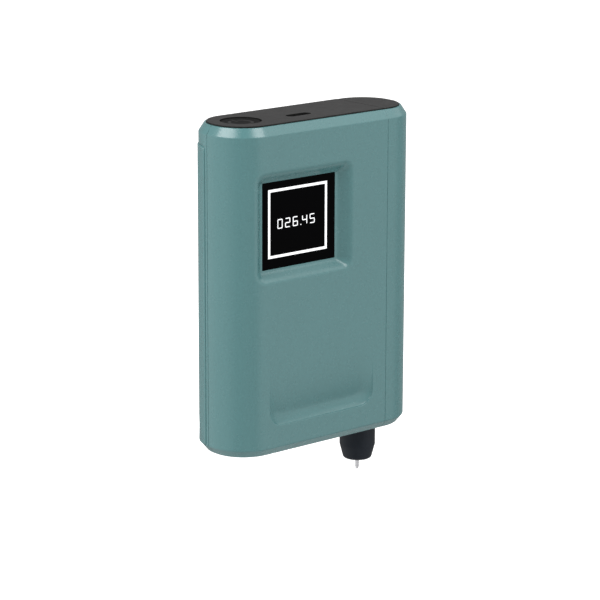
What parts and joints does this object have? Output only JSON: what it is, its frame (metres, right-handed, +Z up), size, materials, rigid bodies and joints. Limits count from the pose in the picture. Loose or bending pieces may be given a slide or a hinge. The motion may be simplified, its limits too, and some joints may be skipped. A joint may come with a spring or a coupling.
{
  "type": "diamond tester",
  "caption": "Hand-held gem tester with round ends, a screen, a thumb recess, a round power button and a sprung probe pin under a removable side cover.",
  "frame": {"origin": "middle of the flat rear cover, the face that the tester lies on", "axes": "+X to the right as the screen is read, +Y out of the back, +Z up, away from the probe"},
  "size_m": [0.077, 0.0276, 0.1225],
  "materials": {
    "teal_plastic": "satin moulded",
    "black_plastic": "fine texture",
    "button_plastic": "satin",
    "nose_plastic": "satin",
    "screen_glass": "polished black",
    "display_glass": "gloss",
    "steel": "turned",
    "spring_steel": "drawn wire",
    "brass": "plated",
    "circuit_board": "solder resist",
    "chip_resin": "moulded resin",
    "ivory_nylon": "moulded",
    "ceramic": "fired ceramic",
    "battery_foil": "foil",
    "foam": "foam",
    "amber_film": "film",
    "red_insulation": "satin",
    "black_insulation": "satin",
    "grey_insulation": "satin"
  },
  "bodies": {
    "housing": {"front_shell": "teal_plastic", "rear_shell": "teal_plastic", "rear_cover": "teal_plastic", "top_plate": "black_plastic", "switch_body": "chip_resin", "port_shell": "steel", "port_tongue": "chip_resin", "display_window": "screen_glass", "display_panel": "display_glass", "display_holder": "black_plastic", "display_ribbon": "amber_film", "display_connector": "ivory_nylon", "main_board": "circuit_board", "processor_chip": "chip_resin", "charger_chip": "chip_resin", "amplifier_chip": "chip_resin", "buzzer": "black_plastic", "battery_cell": "battery_foil", "battery_pad": "foam", "battery_socket": "ivory_nylon", "battery_plug": "ivory_nylon", "battery_lead_red": "red_insulation", "battery_lead_black": "black_insulation", "probe_sleeve": "nose_plastic", "probe_barrel": "steel", "probe_spring": "spring_steel", "probe_end_cap": "black_plastic", "probe_lead": "grey_insulation", "probe_connector": "ivory_nylon", "probe_cradle": "black_plastic", "case_screw_1": "steel", "case_screw_2": "steel", "case_screw_3": "steel", "case_screw_4": "steel", "board_screw_1": "steel", "board_screw_2": "steel", "board_screw_3": "steel", "board_screw_4": "steel", "touch_plate": "steel", "touch_contact": "brass"},
    "button": {"power_button": "button_plastic", "switch_plunger": "ivory_nylon"},
    "probe": {"probe_pin": "steel", "probe_heater": "ceramic"},
    "cover": {"side_cover": "teal_plastic", "side_cover_top": "black_plastic"}
  },
  "joints": [
    {"name": "button_press", "type": "slide", "parent": "housing", "child": "button", "axis": [0, 0, -1], "range_m": [0, 0.0006], "stiffness_N_per_m": 1500, "springref_m": -0.0003},
    {"name": "probe_plunge", "type": "slide", "parent": "housing", "child": "probe", "axis": [0, 0, 1], "range_m": [0, 0.0018], "stiffness_N_per_m": 400, "springref_m": -0.0006, "deforming": ["probe_spring"]},
    {"name": "side_cover_pull", "type": "slide", "parent": "housing", "child": "cover", "axis": [1, 0, 0], "range_m": [0, 0.035]}
  ]
}
